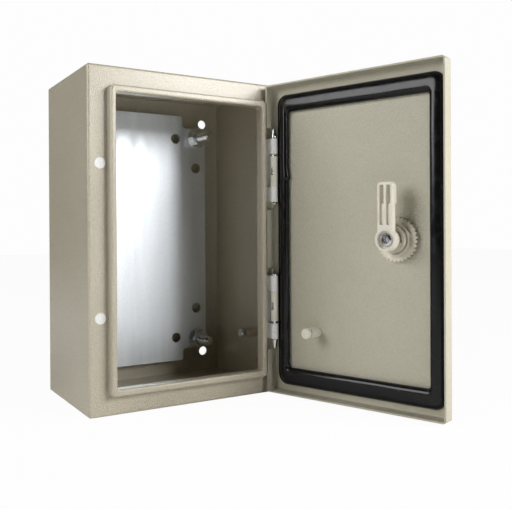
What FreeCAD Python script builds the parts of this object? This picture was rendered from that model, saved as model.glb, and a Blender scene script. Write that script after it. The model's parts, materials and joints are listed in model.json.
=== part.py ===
import FreeCAD, Part
import math
import os
import re
import Sketcher

# Steel wall enclosure with its door standing open.
# Millimetres. X to the right, Y to the back, Z up. The origin is the middle of the
# rear wall's outer face, which lies against the building's wall.

doc = FreeCAD.newDocument("wall_enclosure")

# Driving dimensions

sizeTable = [
    ("Body", None, ""),
    ("bodyWidth", 190, "outside width"),
    ("bodyHeight", 300, "outside height"),
    ("bodyDepth", 125, "rear face to the front of the flange"),
    ("sheetThickness", 1.5, "steel sheet of body and door"),
    ("bendRadius", 2.2, "outside radius of the body's bends"),
    ("flangeWidth", 17.5, "body side to the outer wall of the lip"),
    ("flangeBend", 1, "radius where the lip rises from the flange"),
    ("lipHeight", 8.5, "flange to the crown of the lip"),
    ("lipWidth", 6, "outer wall of the lip to its inner return, top and bottom"),
    ("lipSideWidth", 5, "the same at the sides"),
    ("lipCorner", 4, "corner radius of the lip's outer wall"),
    ("lipBend", 1.8, "bend radius along the crown of the lip"),
    ("mouthCorner", 2.5, "corner radius of the mouth"),
    ("wallHoleFromSide", 20, "body side to the fixing holes"),
    ("wallHoleFromEnd", 23, "body top or bottom to the fixing holes"),
    ("wallHoleDiameter", 9.5, "fixing holes in the rear wall"),
    ("Mounting plate", None, ""),
    ("plateGap", 10, "rear wall's inner face to the plate"),
    ("plateThickness", 2, "galvanised sheet"),
    ("plateFromSide", 22.5, "body side to the plate"),
    ("plateFromEnd", 18, "body top or bottom to the plate"),
    ("notchWidth", 27.5, "cut from each corner"),
    ("notchHeight", 12.5, "cut from each corner"),
    ("notchRadius", 4, "inner corner of each notch"),
    ("plateCorner", 2.5, "outer corners of the plate"),
    ("studFromSide", 10.5, "plate's side to the plate studs"),
    ("studFromEnd", 22.5, "plate's top or bottom to the plate studs"),
    ("studHoleDiameter", 11, "holes for the plate studs"),
    ("equipmentHole", 10.5, "round holes for equipment"),
    ("innerHoleFromSide", 35.5, "plate's side to the upper and lower pairs"),
    ("innerHoleFromEnd", 24.7, "plate's top or bottom to the same pairs"),
    ("outerHoleFromSide", 11.5, "plate's side to the pairs nearer the middle"),
    ("outerHoleFromEnd", 55.5, "plate's top or bottom to the same pairs"),
    ("Plate fixings", None, ""),
    ("studDiameter", 10, "thread of the plate studs"),
    ("studBeyondNut", 20, "thread left in front of the nut"),
    ("studTipDiameter", 5.5, "turned dog tip"),
    ("studTipLength", 2.5, ""),
    ("studNeckDiameter", 7.4, "groove behind the last turn of thread"),
    ("studNeckLength", 1.2, ""),
    ("studRimLength", 1.6, "last turn of thread in front of the groove"),
    ("threadClearance", 0.05, "nut, washer or sleeve to its rod, radial"),
    ("spacerDiameter", 18, "tube behind the plate"),
    ("washerDiameter", 21.5, ""),
    ("washerThickness", 2, ""),
    ("nutFlats", 16, "across flats"),
    ("nutHeight", 8, ""),
    ("nutChamfer", 0.8, ""),
    ("Earth studs", None, ""),
    ("earthCoreDiameter", 6.4, "zinc-plated core"),
    ("earthSleeveDiameter", 9.6, "painted sleeve"),
    ("earthCapLength", 3.5, "tip beyond the bare groove"),
    ("earthGroove", 1.5, "bare groove"),
    ("earthChamfer", 0.7, "edge of the tip"),
    ("bodyEarthLength", 18, "from the side wall"),
    ("bodyEarthSetback", 41, "behind the flange's front"),
    ("bodyEarthRise", 53.4, "above the body's bottom"),
    ("doorEarthLength", 19.5, "from the door skin"),
    ("doorEarthInset", 45, "from the hinge pin"),
    ("doorEarthRise", 61, "above the door's bottom"),
    ("Hinges", None, ""),
    ("pinInset", 9.5, "body side to the pin axis"),
    ("pinRise", 9, "flange to the pin axis"),
    ("hingeFromEnd", 84, "body top or bottom to the hinge studs"),
    ("hingeStudInset", 10.3, "body side to the hinge studs"),
    ("hingeHoleDiameter", 9, "holes in the flange"),
    ("hingeHoleClearance", 0.15, "stud collar to its hole, radial"),
    ("pinDiameter", 4, ""),
    ("pinSeat", 0.03, "pin to a body knuckle, radial"),
    ("pinClearance", 0.08, "pin to a door knuckle, radial"),
    ("pinHeadDiameter", 6.4, ""),
    ("pinHeadHeight", 3, ""),
    ("pinTipDiameter", 5.4, "widest part of the split tip"),
    ("pinTipLength", 9, ""),
    ("pinSlit", 0.8, ""),
    ("bodyKnuckleDiameter", 7, ""),
    ("bodyKnuckleLength", 14.5, ""),
    ("doorKnuckleDiameter", 7, ""),
    ("doorKnuckleLength", 29.2, ""),
    ("knuckleRest", 0.2, "gap below the upper door knuckle"),
    ("knucklePlay", 2.4, "gap above it, where the pin shows"),
    ("windowHeight", 7, "slot in the door knuckle"),
    ("windowWidth", 4, ""),
    ("strapThickness", 1.8, "bracket plate on the flange"),
    ("strapLeft", 6.5, "pin axis to its left side"),
    ("strapRight", 1.5, "pin axis to its right side"),
    ("strapCorner", 1.2, ""),
    ("hingeStudDiameter", 8, ""),
    ("hingeStudEnd", 2.4, "stud beyond its nut"),
    ("hingeWasherDiameter", 16, ""),
    ("hingeWasherThickness", 1.6, ""),
    ("hingeNutFlats", 13, "across flats"),
    ("hingeNutHeight", 6.5, ""),
    ("plugDiameter", 10, "plugs in the spare holes"),
    ("plugHeight", 0.7, ""),
    ("plugLength", 5, "behind the head"),
    ("plugClearance", 0.1, "plug stem to its hole, radial"),
    ("Door", None, ""),
    ("doorAngle", 109, "how far it stands open"),
    ("doorFromSide", 3.5, "body side to the door"),
    ("doorFromEnd", 2.5, "body top or bottom to the door"),
    ("doorDepth", 13.5, "skin to the end of the return"),
    ("doorGap", 3.6, "end of the return to the flange"),
    ("doorBend", 3, "outside radius of the door's bends"),
    ("returnNotchBelow", 38, "hinge stud to the notch's lower end"),
    ("returnNotchAbove", 41, "hinge stud to the notch's upper end"),
    ("returnNotchRadius", 3.5, ""),
    ("leafClearance", 0.1, "knuckle leaf to the bend of the door"),
    ("gasketInset", 9, "body side to the gasket, free side"),
    ("gasketTopInset", 12.5, "body top to the gasket"),
    ("gasketWidth", 16.5, ""),
    ("gasketHingeGap", 0.5, "door knuckle to the gasket"),
    ("gasketClearance", 0.3, "closed door, gasket to lip"),
    ("gasketCorner", 10, "outer corners of the gasket"),
    ("gasketInnerCorner", 2, ""),
    ("skirtHeight", 2, "low edge of the gasket, under the knuckles"),
    ("skirtClearance", 0.3, "low edge to the leaf of the door knuckle"),
    ("Lock", None, ""),
    ("lockInset", 47.5, "free side of the door to the lock axis"),
    ("lockHoleDiameter", 22.5, ""),
    ("lockSleeveDiameter", 22, "threaded sleeve"),
    ("lockSleeveHeight", 9.3, "above the inner skin"),
    ("lockHeadDiameter", 29, "outside"),
    ("lockHeadHeight", 3, ""),
    ("lockHeadChamfer", 1, ""),
    ("sealDiameter", 27, ""),
    ("sealThickness", 0.8, ""),
    ("ringNutDiameter", 38.4, "over the teeth"),
    ("ringNutThickness", 4.5, "toothed part"),
    ("toothCount", 32, ""),
    ("toothDepth", 1.3, ""),
    ("toothGap", 1.8, "width of each gap at the rim"),
    ("collarFlats", 28, "octagon on the ring nut"),
    ("collarHeight", 4.5, ""),
    ("collarCorner", 2.5, ""),
    ("collarRim", 1.3, "wall round its counterbore"),
    ("collarSink", 3, "depth of the counterbore"),
    ("stopRingDiameter", 24, ""),
    ("stopRingHeight", 4, ""),
    ("stopGrooveWidth", 2.2, "depth of the stop recess in the ring"),
    ("stopLugWidth", 4, ""),
    ("stopAngle", 90, "turn between the stops"),
    ("stopSlack", 2, "degrees left at each stop"),
    ("stopDiscDiameter", 16, ""),
    ("rotorDiameter", 14, ""),
    ("rotorClearance", 0.1, "rotor to its bore, radial"),
    ("rotorSetback", 0.6, "rotor end behind the head's face"),
    ("rotorPlay", 0.3, "stop disc to its seats"),
    ("keyRecessDiameter", 10, ""),
    ("keyRecessDepth", 8, ""),
    ("keyPinDiameter", 4.5, ""),
    ("keyBitWidth", 2.4, ""),
    ("driveSquare", 7, ""),
    ("driveClearance", 0.06, ""),
    ("latchClearance", 0.6, "flange's back to the latched lever"),
    ("leverLength", 48, "axis to tip"),
    ("leverWidth", 14.5, ""),
    ("leverBossDiameter", 19.4, ""),
    ("leverStep", 2, "tip half nearer the door"),
    ("leverTipStart", 30, "axis to the step"),
    ("leverThickness", 4.5, "inner half"),
    ("leverCorner", 3.5, ""),
    ("leverSlotWidth", 3.7, ""),
    ("leverRib", 2.5, "between the two slots"),
    ("leverSlotStart", 12.4, ""),
    ("leverTipWall", 2.5, "slots to the tip"),
    ("leverPocketDepth", 2.4, "slots in the inner half"),
    ("leverRecessDiameter", 14.8, ""),
    ("leverRecessDepth", 3.4, ""),
    ("leverEdge", 0.5, "chamfer of the upper rim"),
    ("screwHeadDiameter", 11.7, ""),
    ("screwHeadHeight", 2.6, ""),
    ("screwHeadSlope", 2.2, "from the rim to the flat top"),
    ("screwDiameter", 5, ""),
    ("screwLength", 10, ""),
    ("screwClearance", 0.05, "screw to its thread, radial"),
    ("screwCross", 5.6, "length of the crossed recess"),
    ("screwCrossWidth", 1.3, ""),
    ("screwCrossDepth", 1.5, ""),
]

sheet = doc.addObject("Spreadsheet::Sheet", "Sizes")
names = set()
for row, (name, value, note) in enumerate(sizeTable, start=1):
    sheet.set("A%d" % row, name)
    if value is not None:
        sheet.set("B%d" % row, str(value))
        sheet.setAlias("B%d" % row, name)
        sheet.set("C%d" % row, note)
        names.add(name)
doc.recompute()

# Places that several pieces share, written with the names above

middle = "0"
halfWidth = "bodyWidth / 2"
halfHeight = "bodyHeight / 2"
wallInside = "(-sheetThickness)"
flangeFront = "(-bodyDepth)"
flangeBack = "(-bodyDepth + sheetThickness)"
lipFront = "(-bodyDepth - lipHeight)"
plateBack = "(-sheetThickness - plateGap)"
plateFront = "(-sheetThickness - plateGap - plateThickness)"
plateSide = "(bodyWidth / 2 - plateFromSide)"
plateEnd = "(bodyHeight / 2 - plateFromEnd)"
studX = "(bodyWidth / 2 - plateFromSide - studFromSide)"
studZ = "(bodyHeight / 2 - plateFromEnd - studFromEnd)"
pinX = "(bodyWidth / 2 - pinInset)"
pinY = "(-bodyDepth - pinRise)"
hingeMiddle = "(bodyHeight / 2 - hingeFromEnd)"
hingeLength = "(2 * bodyKnuckleLength + knuckleRest + doorKnuckleLength + knucklePlay)"
hingeStudX = "(bodyWidth / 2 - hingeStudInset)"
doorTurn = "doorAngle * 1 deg"

# On the door, measured from the pin axis with the door closed
doorSide = "(pinInset - doorFromSide)"
doorFree = "(pinInset + doorFromSide - bodyWidth)"
doorEnd = "(bodyHeight / 2 - doorFromEnd)"
returnEnd = "(pinRise - doorGap)"
skinOutside = "(pinRise - doorGap - doorDepth)"
skinInside = "(pinRise - doorGap - doorDepth + sheetThickness)"
lockX = "(pinInset + doorFromSide - bodyWidth + lockInset)"

# Heights above the door's inner skin, at the lock
stopRingTop = "(lockSleeveHeight + stopRingHeight)"
leverTipBase = "(doorGap + doorDepth + latchClearance)"
leverBase = "(doorGap + doorDepth + latchClearance + leverStep)"
leverTop = "(doorGap + doorDepth + latchClearance + leverStep + leverThickness)"


def bound(text):
    """An expression for the spreadsheet, from one written with plain names."""
    def withSheet(word):
        return "Sizes." + word.group(0) if word.group(0) in names else word.group(0)

    return re.sub(r"[A-Za-z]\w*", withSheet, text)


def size(name):
    return float(sheet.get(name))


# Sketches: every point is held by two signed distances from the origin

def newBody(label):
    body = doc.addObject("PartDesign::Body", label)
    body.Label = label
    return body


def newSketch(body, name, plane, offset):
    sketch = body.newObject("Sketcher::SketchObject", name)
    support = [feature for feature in body.Origin.OriginFeatures if feature.Role == plane][0]
    sketch.AttachmentSupport = [(support, "")]
    sketch.MapMode = "FlatFace"
    sketch.setExpression("AttachmentOffset.Base.z", bound(offset))
    return sketch


def frontSketch(body, name, y):
    """A sketch seen from the front: its x is X and its y is Z."""
    return newSketch(body, name, "XZ_Plane", "-(%s)" % y)


def holdPoint(sketch, geometry, point, place, start):
    for kind, text, value in (("DistanceX", place[0], start[0]), ("DistanceY", place[1], start[1])):
        number = sketch.addConstraint(Sketcher.Constraint(kind, -1, 1, geometry, point, value))
        sketch.setExpression("Constraints[%d]" % number, bound(text))


def outline(sketch, points):
    """A closed outline of straight lines. The first places are a ring, and the distances move them."""
    count = len(points)
    ring = [(10 * math.cos(2 * math.pi * step / count + 0.3), 10 * math.sin(2 * math.pi * step / count + 0.3))
            for step in range(count)]
    lines = []
    for step in range(count):
        start = FreeCAD.Vector(ring[step][0], ring[step][1], 0)
        end = FreeCAD.Vector(ring[(step + 1) % count][0], ring[(step + 1) % count][1], 0)
        lines.append(sketch.addGeometry(Part.LineSegment(start, end)))
    for step in range(count):
        sketch.addConstraint(Sketcher.Constraint("Coincident", lines[step], 2, lines[(step + 1) % count], 1))
    for step in range(count):
        holdPoint(sketch, lines[step], 1, points[step], ring[step])


def rectangle(sketch, left, right, bottom, top):
    outline(sketch, [(left, bottom), (right, bottom), (right, top), (left, top)])


def centredRectangle(sketch, halfWide, halfHigh):
    rectangle(sketch, "-(%s)" % halfWide, halfWide, "-(%s)" % halfHigh, halfHigh)


def circle(sketch, x, y, diameter):
    ring = sketch.addGeometry(Part.Circle(FreeCAD.Vector(1, 1, 0), FreeCAD.Vector(0, 0, 1), 5))
    holdPoint(sketch, ring, 3, (x, y), (1, 1))
    number = sketch.addConstraint(Sketcher.Constraint("Diameter", ring, 10))
    sketch.setExpression("Constraints[%d]" % number, bound(diameter))


def octagon(sketch, flats):
    """An octagon about the origin with two sides upright."""
    half = "(%s) / 2" % flats
    cut = "(%s) / 2 * tan(22.5 deg)" % flats
    outline(sketch, [(half, "-" + cut), (half, cut), (cut, half), ("-" + cut, half),
                     ("-" + half, cut), ("-" + half, "-" + cut), ("-" + cut, "-" + half), (cut, "-" + half)])


def hexagon(sketch, flats):
    """A hexagon about the origin with two sides level."""
    side = "(%s) / 2 / cos(30 deg)" % flats
    half = "(%s) / 2" % flats
    outline(sketch, [("(%s)" % side, "0"), ("(%s) / 2" % side, half), ("-(%s) / 2" % side, half),
                     ("-(%s)" % side, "0"), ("-(%s) / 2" % side, "-%s" % half), ("(%s) / 2" % side, "-%s" % half)])


# Features

def pad(body, sketch, length, reverse=False):
    feature = body.newObject("PartDesign::Pad", sketch.Name + "Pad")
    feature.Profile = sketch
    feature.setExpression("Length", bound(length))
    feature.Reversed = reverse
    doc.recompute()
    return feature


def pocket(body, sketch, length, reverse=False):
    before = body.Shape.Volume
    feature = body.newObject("PartDesign::Pocket", sketch.Name + "Cut")
    feature.Profile = sketch
    feature.setExpression("Length", bound(length))
    feature.Reversed = reverse
    doc.recompute()
    if not feature.Shape.Volume < before - 1e-6:
        raise RuntimeError(feature.Name + " cuts nothing")
    return feature


def revolve(body, sketch):
    """Turns a profile about the sketch's own vertical axis."""
    feature = body.newObject("PartDesign::Revolution", sketch.Name + "Turn")
    feature.Profile = sketch
    feature.ReferenceAxis = (sketch, ["V_Axis"])
    feature.Angle = 360
    doc.recompute()
    return feature


def edgesWhere(shape, test):
    return ["Edge%d" % (number + 1) for number, edge in enumerate(shape.Edges) if test(edge.BoundBox)]


def dressUp(body, kind, bindTo, text, test):
    base = body.Tip
    picked = edgesWhere(base.Shape, test)
    if not picked:
        raise RuntimeError("no edges found after " + base.Name)
    feature = body.newObject("PartDesign::" + kind, base.Name + kind)
    feature.Base = (base, picked)
    feature.setExpression(bindTo, bound(text))
    doc.recompute()
    return feature


def fillet(body, radius, test):
    return dressUp(body, "Fillet", "Radius", radius, test)


def chamfer(body, width, test):
    return dressUp(body, "Chamfer", "Size", width, test)


def near(value, other):
    return abs(value - other) < 1e-4


def alongY(box):
    return box.XLength < 1e-4 and box.ZLength < 1e-4 and box.YLength > 1e-4


def atY(box, y):
    return near(box.YMin, y) and near(box.YMax, y)


def place(thing, x, y, z, angle="0"):
    thing.Placement.Rotation.Axis = FreeCAD.Vector(0, 0, 1)
    thing.setExpression("Placement.Base.x", bound(x))
    thing.setExpression("Placement.Base.y", bound(y))
    thing.setExpression("Placement.Base.z", bound(z))
    thing.setExpression("Placement.Rotation.Angle", bound(angle))


def placeOnDoor(thing, x, y, z):
    """Puts a piece on the opened door, from its place on the closed door."""
    place(thing,
          "%s + (%s) * cos(%s) - (%s) * sin(%s)" % (pinX, x, doorTurn, y, doorTurn),
          "%s + (%s) * sin(%s) + (%s) * cos(%s)" % (pinY, x, doorTurn, y, doorTurn),
          z, "doorAngle")


def mirrored(label, source, normal):
    """The same piece on the other side of a middle plane."""
    copy = doc.addObject("Part::Mirroring", label)
    copy.Label = label
    copy.Source = source
    copy.Base = FreeCAD.Vector(0, 0, 0)
    copy.Normal = normal
    doc.recompute()
    return copy


def group(label, pieces):
    compound = doc.addObject("Part::Compound", label)
    compound.Label = label
    compound.Links = pieces
    doc.recompute()
    return compound


across = FreeCAD.Vector(1, 0, 0)
upward = FreeCAD.Vector(0, 0, 1)


def upAndDown(label, piece):
    return group(label, [piece, mirrored(label + "Lower", piece, upward)])


def atFourCorners(label, piece):
    left = mirrored(label + "Left", piece, across)
    return group(label, [piece, left, mirrored(label + "Lower", piece, upward),
                         mirrored(label + "LowerLeft", left, upward)])


# Body shell

def makeBodyShell():
    body = newBody("body_shell")
    box = frontSketch(body, "shellBox", middle)
    centredRectangle(box, halfWidth, halfHeight)
    pad(body, box, "bodyDepth")
    fillet(body, "bendRadius", lambda edge: True)

    room = frontSketch(body, "shellRoom", wallInside)
    centredRectangle(room, "%s - sheetThickness" % halfWidth, "%s - sheetThickness" % halfHeight)
    pocket(body, room, "bodyDepth - 2 * sheetThickness", True)
    insideX = size("bodyWidth") / 2 - size("sheetThickness") + 1e-4
    insideZ = size("bodyHeight") / 2 - size("sheetThickness") + 1e-4
    fillet(body, "bendRadius - sheetThickness",
           lambda edge: max(abs(edge.XMin), abs(edge.XMax)) < insideX
           and max(abs(edge.ZMin), abs(edge.ZMax)) < insideZ
           and edge.YMax < -size("sheetThickness") + 1e-4
           and edge.YMin > -size("bodyDepth") + size("sheetThickness") - 1e-4)
    makeLip(body)
    makeShellHoles(body)
    return body


def makeLip(body):
    """The sheet rises from the flange, runs inward over the crown and returns into the mouth."""
    crownY = -size("bodyDepth") - size("lipHeight")
    lip = frontSketch(body, "lip", flangeFront)
    centredRectangle(lip, "%s - flangeWidth" % halfWidth, "%s - flangeWidth" % halfHeight)
    pad(body, lip, "lipHeight")
    fillet(body, "lipCorner", lambda edge: alongY(edge) and near(edge.YMin, crownY))

    mouth = frontSketch(body, "mouth", lipFront)
    centredRectangle(mouth, "%s - flangeWidth - lipSideWidth" % halfWidth,
                     "%s - flangeWidth - lipWidth" % halfHeight)
    pocket(body, mouth, "lipHeight + 2 * sheetThickness")
    mouthX = size("bodyWidth") / 2 - size("flangeWidth") - size("lipSideWidth")
    fillet(body, "mouthCorner", lambda edge: alongY(edge) and near(abs(edge.XMin), mouthX))
    fillet(body, "lipBend", lambda edge: atY(edge, crownY))
    lipX = size("bodyWidth") / 2 - size("flangeWidth")
    fillet(body, "flangeBend",
           lambda edge: atY(edge, -size("bodyDepth")) and max(abs(edge.XMin), abs(edge.XMax)) < lipX + 1e-3)

    channel = frontSketch(body, "lipChannel", flangeBack)
    centredRectangle(channel, "%s - flangeWidth - sheetThickness" % halfWidth,
                     "%s - flangeWidth - sheetThickness" % halfHeight)
    centredRectangle(channel, "%s - flangeWidth - lipSideWidth + sheetThickness" % halfWidth,
                     "%s - flangeWidth - lipWidth + sheetThickness" % halfHeight)
    pocket(body, channel, "lipHeight", True)
    outerX = lipX - size("sheetThickness")
    innerX = mouthX + size("sheetThickness")
    fillet(body, "lipCorner - sheetThickness", lambda edge: alongY(edge) and near(abs(edge.XMin), outerX))
    fillet(body, "mouthCorner + sheetThickness", lambda edge: alongY(edge) and near(abs(edge.XMin), innerX))


def makeShellHoles(body):
    hinges = frontSketch(body, "hingeHoles", flangeFront)
    for sideSign in ("", "-"):
        for heightSign in ("", "-"):
            circle(hinges, sideSign + hingeStudX, "%s(%s)" % (heightSign, hingeMiddle), "hingeHoleDiameter")
    pocket(body, hinges, "2 * sheetThickness")
    wall = frontSketch(body, "wallHoles", wallInside)
    for sideSign in ("", "-"):
        for heightSign in ("", "-"):
            circle(wall, "%s(%s - wallHoleFromSide)" % (sideSign, halfWidth),
                   "%s(%s - wallHoleFromEnd)" % (heightSign, halfHeight), "wallHoleDiameter")
    pocket(body, wall, "2 * sheetThickness")


# Mounting plate and its fixings

def makePlate():
    body = newBody("mounting_plate")
    sheetOutline = frontSketch(body, "plateOutline", plateBack)
    stepX = "(%s - notchWidth)" % plateSide
    stepZ = "(%s - notchHeight)" % plateEnd
    quarter = [(plateSide, stepZ), (stepX, stepZ), (stepX, plateEnd)]
    points = list(quarter)
    points += [("-" + x, z) for x, z in reversed(quarter)]
    points += [("-" + x, "-" + z) for x, z in quarter]
    points += [(x, "-" + z) for x, z in reversed(quarter)]
    outline(sheetOutline, points)
    pad(body, sheetOutline, "plateThickness")
    sideX = size("bodyWidth") / 2 - size("plateFromSide")
    endZ = size("bodyHeight") / 2 - size("plateFromEnd")
    innerX = sideX - size("notchWidth")
    innerZ = endZ - size("notchHeight")
    fillet(body, "notchRadius",
           lambda edge: alongY(edge) and near(abs(edge.XMin), innerX) and near(abs(edge.ZMin), innerZ))
    fillet(body, "plateCorner",
           lambda edge: alongY(edge) and (near(abs(edge.XMin), sideX) or near(abs(edge.ZMin), endZ)))
    holes = frontSketch(body, "plateHoles", plateFront)
    for fromSide, fromEnd, diameter in (("studFromSide", "studFromEnd", "studHoleDiameter"),
                                        ("innerHoleFromSide", "innerHoleFromEnd", "equipmentHole"),
                                        ("outerHoleFromSide", "outerHoleFromEnd", "equipmentHole")):
        for sideSign in ("", "-"):
            for heightSign in ("", "-"):
                circle(holes, "%s(%s - %s)" % (sideSign, plateSide, fromSide),
                       "%s(%s - %s)" % (heightSign, plateEnd, fromEnd), diameter)
    pocket(body, holes, "2 * plateThickness")
    return body


def makePlateStuds():
    """A threaded rod with a groove near its end and a thinner dog tip. Its base is on the rear wall."""
    body = newBody("plateStud")
    profile = newSketch(body, "plateStudProfile", "XY_Plane", "0")
    rod = "studDiameter / 2"
    reach = "(plateGap + plateThickness + washerThickness + nutHeight + studBeyondNut)"
    tip = "studTipDiameter / 2"
    neck = "studNeckDiameter / 2"
    outline(profile, [("0", "0"), (rod, "0"),
                      (rod, "-(%s - studTipLength - studRimLength - studNeckLength)" % reach),
                      (neck, "-(%s - studTipLength - studRimLength - studNeckLength)" % reach),
                      (neck, "-(%s - studTipLength - studRimLength)" % reach),
                      (rod, "-(%s - studTipLength - studRimLength)" % reach),
                      (rod, "-(%s - studTipLength - studRimLength / 2)" % reach),
                      (neck, "-(%s - studTipLength)" % reach),
                      (tip, "-(%s - studTipLength)" % reach),
                      (tip, "-%s" % reach), ("0", "-%s" % reach)])
    revolve(body, profile)
    place(body, studX, wallInside, studZ)
    return atFourCorners("plate_studs", body)


def makeTube(label, diameter, bore, length):
    """A plain ring about Y, from its own origin toward the front."""
    body = newBody(label)
    profile = newSketch(body, label + "Profile", "XY_Plane", "0")
    rectangle(profile, "(%s) / 2" % bore, "(%s) / 2" % diameter, "-(%s)" % length, "0")
    revolve(body, profile)
    return body


def makeNut(label, flats, bore, height):
    """A hexagon nut about Y with both rims chamfered, from its own origin toward the front."""
    body = newBody(label)
    shape = frontSketch(body, label + "Outline", middle)
    hexagon(shape, flats)
    circle(shape, "0", "0", bore)
    pad(body, shape, height)
    cone = newSketch(body, label + "Crown", "XY_Plane", "0")
    reach = "(%s) / 2 / cos(30 deg)" % flats
    rim = "(%s) / 2" % flats
    outline(cone, [(rim, "0.001"), (reach + " + 1", "0.001"), (reach + " + 1", "-nutChamfer")])
    outline(cone, [(rim, "-(%s) - 0.001" % height), (reach + " + 1", "-(%s) - 0.001" % height),
                   (reach + " + 1", "-(%s) + nutChamfer" % height)])
    groove = body.newObject("PartDesign::Groove", label + "Rims")
    groove.Profile = cone
    groove.ReferenceAxis = (cone, ["V_Axis"])
    groove.Angle = 360
    doc.recompute()
    return body


def makePlateFixings():
    rodBore = "studDiameter + 2 * threadClearance"
    spacer = makeTube("plateSpacer", "spacerDiameter", rodBore, "plateGap")
    place(spacer, studX, wallInside, studZ)
    washer = makeTube("plateWasher", "washerDiameter", rodBore, "washerThickness")
    place(washer, studX, plateFront, studZ)
    nut = makeNut("plateNut", "nutFlats", rodBore, "nutHeight")
    place(nut, studX, "%s - washerThickness" % plateFront, studZ)
    return [atFourCorners("plate_spacers", spacer), atFourCorners("plate_washers", washer),
            atFourCorners("plate_nuts", nut)]


# Earth studs: a plated core, a painted sleeve, a bare groove and a painted tip

def makeEarthStud(prefix, length):
    core = newBody(prefix + "_earth_stud")
    profile = newSketch(core, prefix + "EarthCore", "XY_Plane", "0")
    rectangle(profile, "0", "earthCoreDiameter / 2", "0", "%s - earthCapLength" % length)
    revolve(core, profile)

    sleeve = newBody(prefix + "_earth_sleeve")
    wall = newSketch(sleeve, prefix + "EarthSleeve", "XY_Plane", "0")
    rectangle(wall, "earthCoreDiameter / 2 + threadClearance", "earthSleeveDiameter / 2",
              "0", "%s - earthCapLength - earthGroove" % length)
    revolve(sleeve, wall)

    cap = newBody(prefix + "_earth_cap")
    tip = newSketch(cap, prefix + "EarthCap", "XY_Plane", "0")
    edge = "earthSleeveDiameter / 2"
    outline(tip, [("0", "%s - earthCapLength" % length), (edge, "%s - earthCapLength" % length),
                  (edge, "%s - earthChamfer" % length), (edge + " - earthChamfer", length), ("0", length)])
    revolve(cap, tip)
    return [core, sleeve, cap]


def makeBodyEarth():
    pieces = makeEarthStud("body", "bodyEarthLength")
    for piece in pieces:
        place(piece, "%s - sheetThickness" % halfWidth, "%s + bodyEarthSetback" % flangeFront,
              "bodyEarthRise - %s" % halfHeight, "90")
    return pieces


def makeDoorEarth():
    pieces = makeEarthStud("door", "doorEarthLength")
    for piece in pieces:
        placeOnDoor(piece, "-doorEarthInset", skinInside, "doorEarthRise - %s" % doorEnd)
    return pieces


# Hinges, from the pin axis at the height of the hinge stud

def makeBracket():
    body = newBody("hinge_bracket_upper")
    bottom = "-%s / 2" % hingeLength
    strap = newSketch(body, "strap", "XY_Plane", bottom)
    rectangle(strap, "-strapLeft", "strapRight", "pinRise - strapThickness", "pinRise")
    pad(body, strap, hingeLength)
    fillet(body, "strapCorner", alongY)
    for label, start in (("Lower", bottom), ("Upper", "%s / 2 - bodyKnuckleLength" % hingeLength)):
        web = newSketch(body, "web" + label, "XY_Plane", start)
        rectangle(web, "-bodyKnuckleDiameter / 2", "strapRight", "0", "pinRise - strapThickness / 2")
        pad(body, web, "bodyKnuckleLength")
        knuckle = newSketch(body, "knuckle" + label, "XY_Plane", start)
        circle(knuckle, "0", "0", "bodyKnuckleDiameter")
        pad(body, knuckle, "bodyKnuckleLength")
    bore = newSketch(body, "bracketBore", "XY_Plane", "%s / 2" % hingeLength)
    circle(bore, "0", "0", "pinDiameter + 2 * pinSeat")
    pocket(body, bore, hingeLength)
    collar = frontSketch(body, "studCollar", "pinRise")
    circle(collar, "pinInset - hingeStudInset", "0", "hingeHoleDiameter - 2 * hingeHoleClearance")
    pad(body, collar, "sheetThickness", True)
    stud = frontSketch(body, "hingeStud", "pinRise + sheetThickness")
    circle(stud, "pinInset - hingeStudInset", "0", "hingeStudDiameter")
    pad(body, stud, "hingeWasherThickness + hingeNutHeight + hingeStudEnd", True)
    place(body, pinX, pinY, hingeMiddle)
    doc.recompute()
    return [body, mirrored("hinge_bracket_lower", body, upward)]


def makeHingeFixings():
    bore = "hingeStudDiameter + 2 * threadClearance"
    washer = makeTube("hingeWasher", "hingeWasherDiameter", bore, "hingeWasherThickness")
    place(washer, hingeStudX, "%s + hingeWasherThickness" % flangeBack, hingeMiddle)
    nut = makeNut("hingeNut", "hingeNutFlats", bore, "hingeNutHeight")
    place(nut, hingeStudX, "%s + hingeWasherThickness + hingeNutHeight" % flangeBack, hingeMiddle)
    return [upAndDown("hinge_bracket_washers", washer), upAndDown("hinge_bracket_nuts", nut)]


def makePin():
    """A pin with a domed head below and a split tip that tapers above."""
    body = newBody("hinge_pin_upper")
    profile = newSketch(body, "pinProfile", "XZ_Plane", "0")
    low = "-%s / 2" % hingeLength
    high = "%s / 2" % hingeLength
    outline(profile, [("0", "%s - pinHeadHeight" % low), ("pinHeadDiameter / 4", "%s - pinHeadHeight" % low),
                      ("pinHeadDiameter / 2.4", "%s - pinHeadHeight * 0.8" % low),
                      ("pinHeadDiameter / 2", "%s - pinHeadHeight / 2" % low),
                      ("pinHeadDiameter / 2", low), ("pinDiameter / 2", low), ("pinDiameter / 2", high),
                      ("pinTipDiameter / 2", "%s + pinTipLength / 9" % high),
                      ("pinDiameter / 2 - pinSlit / 2", "%s + pinTipLength" % high),
                      ("0", "%s + pinTipLength" % high)])
    revolve(body, profile)
    slit = frontSketch(body, "pinSlitOutline", "-pinTipDiameter")
    rectangle(slit, "-pinSlit / 2", "pinSlit / 2",
              "%s + pinTipLength / 4" % high, "%s + pinTipLength + 1" % high)
    pocket(body, slit, "2 * pinTipDiameter")
    place(body, pinX, pinY, hingeMiddle)
    doc.recompute()
    return [body, mirrored("hinge_pin_lower", body, upward)]


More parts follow.
